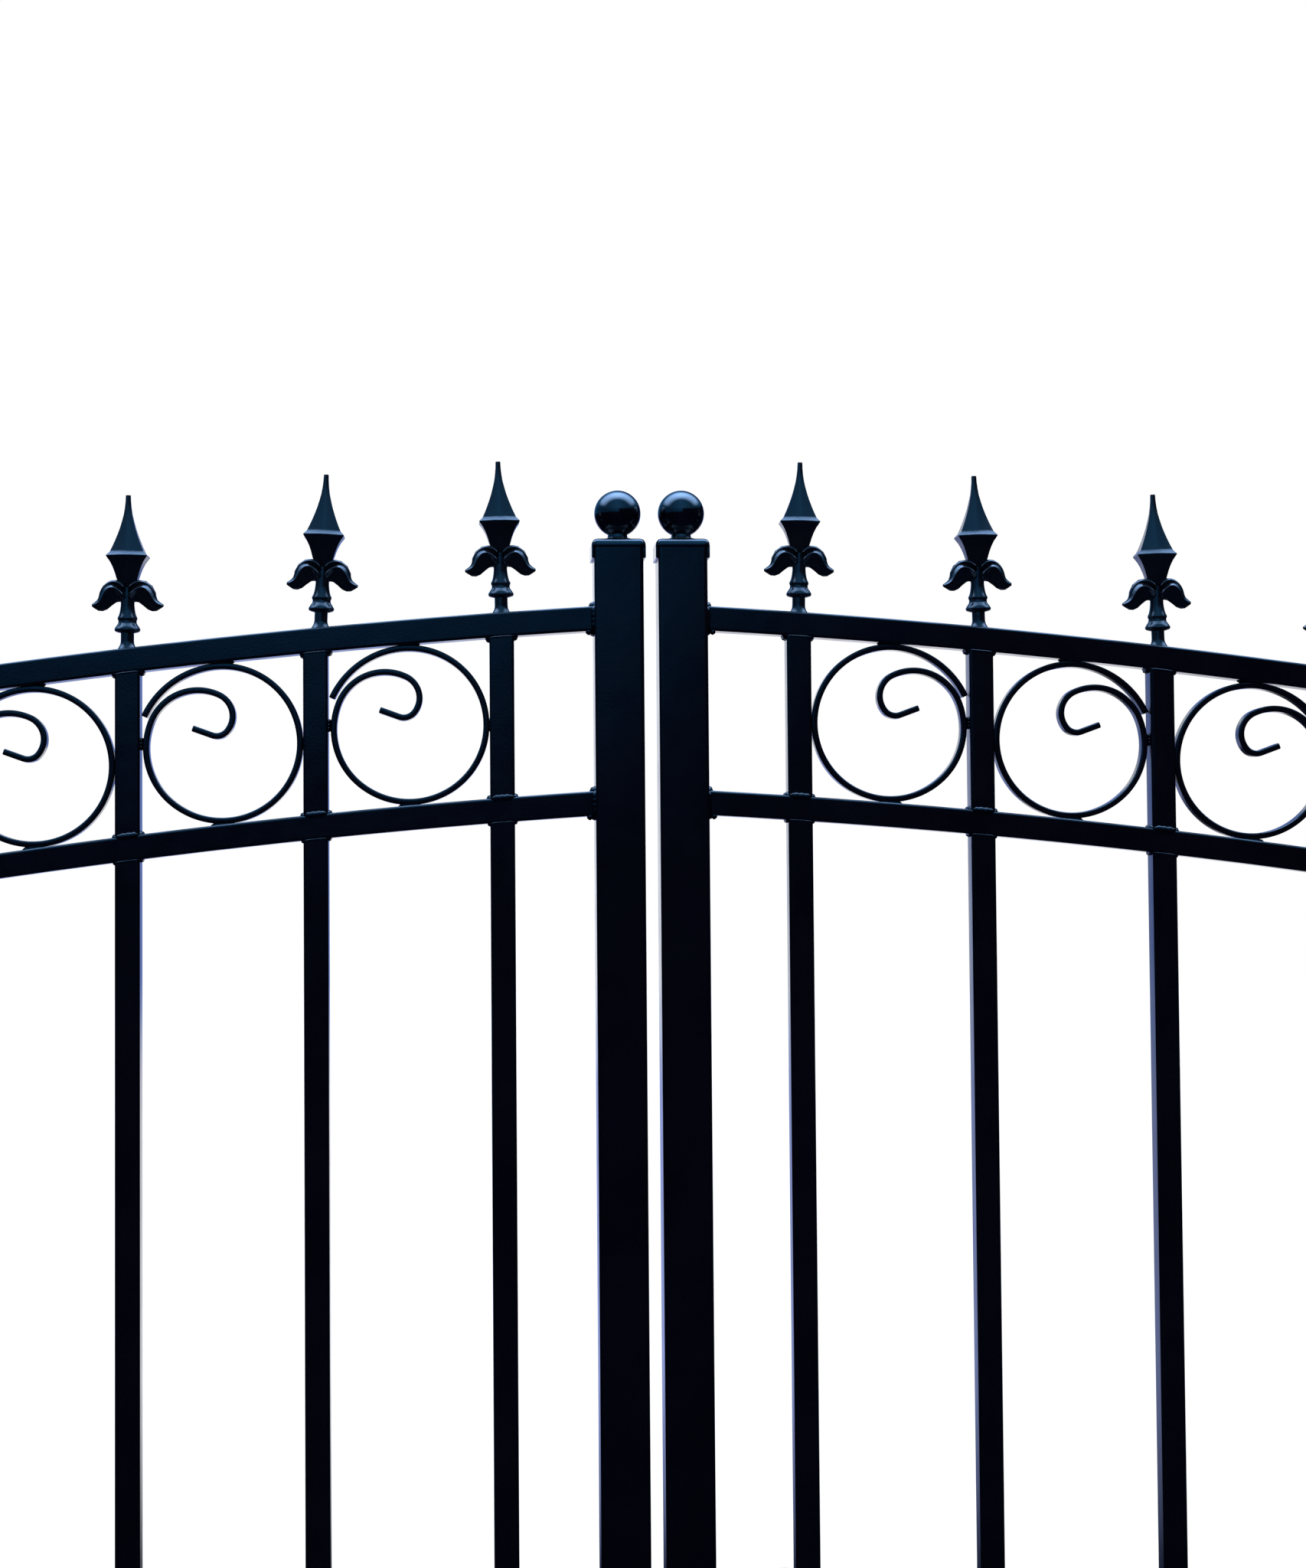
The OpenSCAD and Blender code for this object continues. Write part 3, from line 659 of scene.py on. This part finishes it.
def ball_cap(node, body, ball, neck, skirt, roll, lug):
    """Pressed cap: a pan with rolled edges, a longer flap down two sides, and a ball on a domed boss."""
    low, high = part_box(node)
    middle = centre(node)
    top = low.z + skirt + PAN_RISE
    half_way = (low.z + top) / 2
    bm = bmesh.new()
    size = Matrix.Diagonal((high.x - low.x, high.y - low.y, top - low.z, 1))
    place = Matrix.Translation((middle.x, middle.y, half_way))
    bmesh.ops.create_cube(bm, size=1, matrix=place @ size)
    soften(bm, [e for e in bm.edges if max(v.co.z for v in e.verts) > half_way], roll, segments=6)
    soften(bm, [e for e in bm.edges if all(v.co.z < low.z + HAIR for v in e.verts)], SKIRT_EDGE)
    for outer in (low.x, high.x):
        flap = bmesh.new()
        inner = outer + math.copysign(FLAP_T, middle.x - outer)
        left, right = sorted((outer, inner))
        near, far = low.y + FLAP_INSET, high.y - FLAP_INSET
        block(flap, (left, near, top - lug), (right, far, top - roll), FLAP_EDGE)
        add_copy(bm, flap, Matrix.Identity(4))
        flap.free()
    turned = bmesh.new()
    profile = ball_profile(ball, neck, top, high.z - ball - BALL_DROP)
    lathe(turned, profile, Vector((middle.x, middle.y, 0)), segments=48)
    add_copy(bm, turned, Matrix.Identity(4))
    turned.free()
    made = piece(bm, node + "_pressed", body, "ball_caps", crease=35)
    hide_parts(node)


# ---------------------------------------------------------------- welds


def bead(bm, start, end, size, seed=0.0):
    """Run of weld between two points: a tube that swells at every ripple and closes at its ends.

    The seed moves its ripples along, so that no two runs are alike.
    """
    start, end = Vector(start), Vector(end)
    run = end - start
    count = max(FEWEST_RIPPLES, round(run.length / RIPPLE))
    along = run.to_track_quat("Z", "Y").to_matrix().to_4x4()
    stations = []
    for k in range(count + 1):
        share = k / count
        closed = 1 - END_CLOSING * abs(2 * share - 1) ** 6
        girth = size * closed * (1 + SWELL * math.sin(SWELL_STEP * k + seed))
        sway = Vector((0, 0, SWAY * size * math.sin(SWAY_STEP * k + 2 * seed)))
        stations.append(Matrix.Translation(start + run * share) @ along @ Matrix.Translation(sway)
                        @ Matrix.Diagonal((girth, girth, 1, 1)))
    tube = bmesh.new()
    circle = bmesh.ops.create_circle(tube, cap_ends=False, segments=BEAD_SIDES, radius=1,
                                     matrix=stations[0])
    loft(tube, loop_of(circle["verts"]), stations)
    add_copy(bm, tube, Matrix.Identity(4))
    tube.free()


def bar_welds(bm, tree, x, half, above, fillet, face):
    """Welds a bar to a rail: fillets at its two sides, and a run across its front and its back."""
    surface = top_of if above else foot_of
    for sign in (-1, 1):
        edge = x + sign * half
        z = surface(tree, edge)
        reach = FILLET_REACH * half
        bead(bm, (edge, -reach, z), (edge, reach, z), fillet, x * 90 + sign)
        reach = RUN_REACH * half
        ends = [(x + s * reach, sign * half, surface(tree, x + s * reach)) for s in (-1, 1)]
        bead(bm, *ends, face, x * 70 + 2 * sign)


def rail_welds(bm, tree, x, inward, half, drips):
    """Welds a rail's end to a stile: along its top and foot, and up its front and back."""
    just_in = x + inward * MM
    top, foot = top_of(tree, just_in), foot_of(tree, just_in)
    reach = RAIL_REACH * half
    bead(bm, (x, -reach, top), (x, reach, top), RAIL_TOP_WELD, x * 50)
    bead(bm, (x, -reach, foot), (x, reach, foot), RAIL_FOOT_WELD, x * 60)
    for sign in (-1, 1):
        bead(bm, (x, sign * half, foot), (x, sign * half, top), RAIL_SIDE_WELD, x * 80 + sign)
    if drips:
        drop = Vector((x + inward * DRIP_PLACE, -DRIP_REACH * half, foot))
        start = drop - Vector((inward * DRIP_BEFORE, 0, 0))
        end = drop + Vector((inward * DRIP_AFTER, 0, -DRIP_FALL))
        bead(bm, start, end, DRIP, x)


def ring_welds(bm, side, number, top, low):
    """Tacks a ring to the bars at its two sides and to the rails above and below it."""
    box_low, box_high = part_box(f"{side}_ring_scroll_{number}")
    radius = (box_high.z - box_low.z) / 2
    x = (centre(f"{side}_lower_bar_{number}").x + centre(f"{side}_lower_bar_{number + 1}").x) / 2
    z = box_low.z + radius
    size, half, spacing = RING_BAR_TACK
    deep = Vector((0, half, 0))
    for sign in (-1, 1):
        for lift in (-spacing, 0, spacing):
            touch = Vector((x + sign * radius, 0, z + lift))
            bead(bm, touch - deep, touch + deep, size, 40 * x + lift)
    size, half, spacing = RING_RAIL_TACK
    for tree, surface in ((top, foot_of), (low, top_of)):
        ends = [Vector((x + s * half, 0, surface(tree, x + s * half))) for s in (-1, 1)]
        for y in (-spacing, spacing):
            shift = Vector((0, y, 0))
            bead(bm, ends[0] + shift, ends[1] + shift, size, 30 * x + y)


def fitting_welds(bm, side):
    """Welds round the hinge eyes, the drop bolt's guides, and the latch's plate or keeper."""
    for low, high in solids(f"{side}_hinge_eyes"):
        x = low.x if side == "right" else high.x
        for y in (-EYE_WELD_OFF, EYE_WELD_OFF):
            bead(bm, (x, y, low.z + EYE_WELD_INSET), (x, y, high.z - EYE_WELD_INSET), EYE_WELD, y * 900)
    for low, high in solids(f"{side}_bolt_guides"):
        for x in (low.x, high.x):
            bead(bm, (x, low.y, low.z), (x, low.y, high.z), GUIDE_WELD, x * 100)
    low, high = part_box("latch_keeper" if side == "left" else "latch_plate")
    end = min(high.x, low.x + LATCH_WELD_REACH) - LATCH_WELD_INSET
    for z in (low.z, high.z):
        bead(bm, (low.x + LATCH_WELD_INSET, low.y, z), (end, low.y, z), LATCH_WELD, z * 90)


def leaf_welds(side, trees):
    """Every weld of one leaf, in one piece."""
    bm = bmesh.new()
    inward = SIDES[side]
    low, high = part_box(f"{side}_top_rail")
    half = (high.y - low.y) / 2
    for number in range(1, BAR_COUNT + 1):
        x = centre(f"{side}_lower_bar_{number}").x
        for rail, above, fillet, face in BAR_WELDS:
            bar_welds(bm, trees[rail], x, half, above, fillet, face)
    for number in range(1, RING_COUNT + 1):
        ring_welds(bm, side, number, trees["top_rail"], trees["scroll_rail"])
    for rail, tree in trees.items():
        low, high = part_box(f"{side}_{rail}")
        inner, outer = sorted((low.x, high.x), key=abs)
        rail_welds(bm, tree, inner, inward, half, drips=rail != "bottom_rail")
        rail_welds(bm, tree, outer, -inward, half, drips=False)
    fitting_welds(bm, side)
    piece(bm, f"{side}_leaf_welds", f"{side}_leaf", "coated_steel", crease=60)


def post_welds(side):
    """Welds at a post's foot and round its two hinge brackets."""
    bm = bmesh.new()
    low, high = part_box(f"{side}_gate_post")
    plate_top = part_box(f"{side}_base_plate")[1].z
    corners = [(low.x, low.y), (high.x, low.y), (high.x, high.y), (low.x, high.y)]
    for number, (a, b) in enumerate(zip(corners, corners[1:] + corners[:1])):
        ends = [Vector((*a, plate_top)), Vector((*b, plate_top))]
        inset = (ends[1] - ends[0]).normalized() * POST_FOOT_INSET
        bead(bm, ends[0] + inset, ends[1] - inset, POST_FOOT_WELD, number)
    face = low.x if side == "right" else high.x
    for box_low, box_high in solids(f"{side}_hinge_pintles"):
        plate_foot, plate_head = box_low.z, box_low.z + BRACKET_HEIGHT
        for y in (box_low.y, box_high.y):
            bead(bm, (face, y, plate_foot), (face, y, plate_head), BRACKET_SIDE_WELD, y * 100)
        for z in (plate_foot, plate_head):
            bead(bm, (face, box_low.y, z), (face, box_high.y, z), BRACKET_END_WELD, z * 100)
    piece(bm, f"{side}_post_welds", "posts", "coated_steel", crease=60)


# ---------------------------------------------------------------- the gate


def leaf(side):
    """One leaf with its scrolls, finials, caps and welds."""
    body = f"{side}_leaf"
    trees = {rail: skin(f"{side}_{rail}") for rail in ("top_rail", "scroll_rail", "bottom_rail")}
    for name in ("meeting_stile", "hinge_stile", "bottom_rail", "upper_bars"):
        dressed(f"{side}_{name}", body, "coated_steel")
    for name in ("top_rail", "scroll_rail"):
        arched_rail(side, name)
    for number in range(1, BAR_COUNT + 1):
        dressed(f"{side}_lower_bar_{number}", body, "coated_steel")
    for number in range(1, RING_COUNT + 1):
        ring_scroll(side, number)
    finials(side, trees["top_rail"])
    for name in ("meeting_stile_cap", "hinge_stile_cap"):
        ball_cap(f"{side}_{name}", body, *STILE_CAP)
    dressed(f"{side}_stile_plugs", body, "plugs", edge=0.5 * MM)
    dressed(f"{side}_hinge_eyes", body, "coated_steel", edge=0.8 * MM, segments=3)
    dressed(f"{side}_bolt_guides", body, "coated_steel", edge=0.8 * MM)
    dressed(f"{side}_drop_bolt", f"{side}_drop_bolt", "zinc_bolts", edge=0.9 * MM, segments=3)
    leaf_welds(side, trees)


def post(side):
    """One post with its cap, base plate and hinge pins."""
    dressed(f"{side}_gate_post", "posts", "coated_steel")
    ball_cap(f"{side}_post_cap", "posts", *POST_CAP)
    dressed(f"{side}_base_plate", "posts", "coated_steel", edge=1.0 * MM)
    dressed(f"{side}_hinge_pintles", "posts", "coated_steel", edge=0.8 * MM, segments=3)
    dressed(f"{side}_hinge_washers", "posts", "washers", edge=0.3 * MM)
    post_welds(side)


def fastenings():
    """Latch, its keeper, and the keeper in the ground."""
    dressed("latch_plate", "right_leaf", "coated_steel", edge=0.6 * MM)
    dressed("latch_keeper", "left_leaf", "coated_steel", edge=0.8 * MM)
    dressed("latch_bolt", "latch_bolt", "zinc_bolts", edge=0.9 * MM, segments=3)
    dressed("ground_keeper", "posts", "coated_steel", edge=0.8 * MM)


# ---------------------------------------------------------------- stage

FLOOR_RADIUS = 40
FLOOR_DARK = (0.90, 0.90, 0.90)
FLOOR_LIGHT = (0.94, 0.94, 0.94)
WHITE = (1, 1, 1, 1)
LIGHT_STRENGTH = 1.15
# Surround mirrored in the coat: where each part lies along x (right), y (away) or z (up) of a direction
FRONT_Y = (0.62, 0.80)
BEHIND_Y = (0.82, 0.97)
SIDES_X = (0.1, 0.8)
SKY_Z = (0.32, 0.38)
OVERHEAD_Z = (0.45, 0.62)
OVERHEAD_Y = ((-0.39, -0.02), (0.30, 0.66))
LEFT_GLOW_Z = (0.05, 0.13)
LEFT_GLOW_X = (-0.02, 0.16)
BELOW_Z = (-0.07, -0.03)
DEEP_Z = (-0.24, -0.17)
RIGHT_OF_GATE_X = (-0.01, 0.04)
LEFT_OF_GATE_X = (-0.22, -0.14)
NIGHT = (0.004, 0.008, 0.030)
LEFT_GLOW = (0.03, 0.32, 0.80)
SKY = (0.09, 0.50, 1.10)
OVERHEAD = (4.0, 7.0, 12.5)
PALE_LEVEL = (1.0, 1.05, 1.15)
BLUE_LEVEL = (0.22, 0.34, 0.85)
BLUE_BELOW = (0.42, 0.52, 1.0)
PALE_BELOW = (1.1, 1.1, 1.2)
# Camera: its place, its lens and sensor in millimetres, and its turns left, up and over in degrees
CAMERA_PLACE = (-0.145, -2.216, 1.464)
CAMERA_LENS = 62.7
CAMERA_SENSOR = 36
CAMERA_TURNS = (-3.78, 2.33, -0.46)


def pale_floor():
    """Wide pale floor, faintly mottled, which lights the gate but doesn't show in its coat."""
    material, shader, add = new_finish("pale_floor")
    place = add("TexCoord").outputs["Object"]
    mottle = speckle(add, place, lumps=6, detail=5)
    feed(shader["Base Color"], blend_colours(add, mottle, FLOOR_DARK, FLOOR_LIGHT))
    feed(shader["Roughness"], spread(add, speckle(add, place, lumps=40, detail=3), NOISE, (0.75, 0.9)))
    feed(shader["Specular IOR Level"], 0.1)
    bm = bmesh.new()
    bmesh.ops.create_circle(bm, cap_ends=True, segments=96, radius=FLOOR_RADIUS)
    mesh = bpy.data.meshes.new("floor")
    bm.to_mesh(mesh)
    bm.free()
    mesh.materials.append(material)
    floor = bpy.data.objects.new("floor", mesh)
    bpy.context.scene.collection.objects.link(floor)
    floor.visible_glossy = False


def surround_in_front(add, x, y, z):
    """Dark, with a blue sky, a bright band overhead and a glow low at the left, dimmer to the sides."""
    sideways = add("Math", Value=x)
    sideways.operation = "ABSOLUTE"
    dimming = spread(add, sideways.outputs["Value"], SIDES_X, (1.0, 0.45))
    sky = worked_out(add, "MULTIPLY", spread(add, z, SKY_Z), spread(add, y, FRONT_Y, FALLING))
    near, far = OVERHEAD_Y
    overhead = worked_out(add, "MULTIPLY", spread(add, y, near), spread(add, y, far, FALLING))
    overhead = worked_out(add, "MULTIPLY", spread(add, z, OVERHEAD_Z), overhead)
    left = worked_out(add, "MULTIPLY", spread(add, z, LEFT_GLOW_Z), spread(add, x, LEFT_GLOW_X, FALLING))
    colour = blend_colours(add, left, NIGHT, LEFT_GLOW)
    colour = blend_colours(add, sky, colour, SKY)
    colour = blend_colours(add, overhead, colour, OVERHEAD)
    return blend_colours(add, 1.0, colour, dimming, "MULTIPLY")


def surround_behind(add, x, z):
    """Pale behind the gate and blue to its sides; below, pale to the right, and dark deep down."""
    rightwards = spread(add, x, RIGHT_OF_GATE_X)
    leftwards = spread(add, x, LEFT_OF_GATE_X, FALLING)
    level = blend_colours(add, rightwards, PALE_LEVEL, BLUE_LEVEL)
    level = blend_colours(add, leftwards, level, BLUE_LEVEL)
    below = blend_colours(add, rightwards, BLUE_BELOW, PALE_BELOW)
    below = blend_colours(add, spread(add, z, DEEP_Z), NIGHT, below)
    return blend_colours(add, spread(add, z, BELOW_Z, FALLING), level, below)


def shader_by_ray(add, ray, others, these):
    """One background for a kind of ray, and another for the rest."""
    node = add("MixShader")
    for socket, value in zip(node.inputs, (ray, others, these)):
        feed(socket, value)
    return node.outputs[0]


def soft_light():
    """Even white light all round, a white backdrop, and a painted surround in glossy surfaces."""
    world = bpy.data.worlds.new("studio")
    bpy.context.scene.world = world
    world.use_nodes = True
    world.node_tree.nodes.clear()
    add = node_maker(world.node_tree)
    direction = add("SeparateXYZ", Vector=add("TexCoord").outputs["Generated"])
    x, y, z = (direction.outputs[axis] for axis in "XYZ")
    in_front, behind = surround_in_front(add, x, y, z), surround_behind(add, x, z)
    colour = blend_colours(add, spread(add, y, BEHIND_Y), in_front, behind)
    mirrored = add("Background", Color=colour, Strength=1.0).outputs[0]
    seen = add("Background", Color=WHITE, Strength=1.0).outputs[0]
    lit = add("Background", Color=WHITE, Strength=LIGHT_STRENGTH).outputs[0]
    ray = add("LightPath").outputs
    surface = shader_by_ray(add, ray["Is Glossy Ray"], lit, mirrored)
    surface = shader_by_ray(add, ray["Is Camera Ray"], surface, seen)
    add("OutputWorld", Surface=surface)
    bpy.context.scene.view_settings.view_transform = "Standard"


def eye_level_camera():
    """Standing in the street a little left of the middle, looking slightly up and to the right."""
    data = bpy.data.cameras.new("camera")
    data.sensor_width = CAMERA_SENSOR
    data.lens = CAMERA_LENS
    camera = bpy.data.objects.new("camera", data)
    bpy.context.scene.collection.objects.link(camera)
    turn, pitch, roll = (math.radians(degrees) for degrees in CAMERA_TURNS)
    camera.matrix_world = (Matrix.Translation(CAMERA_PLACE) @ Matrix.Rotation(turn, 4, "Z")
                           @ Matrix.Rotation(math.pi / 2 + pitch, 4, "X") @ Matrix.Rotation(roll, 4, "Z"))
    bpy.context.scene.camera = camera


eye_level_camera()
for side in SIDES:
    leaf(side)
    post(side)
fastenings()
pale_floor()
soft_light()
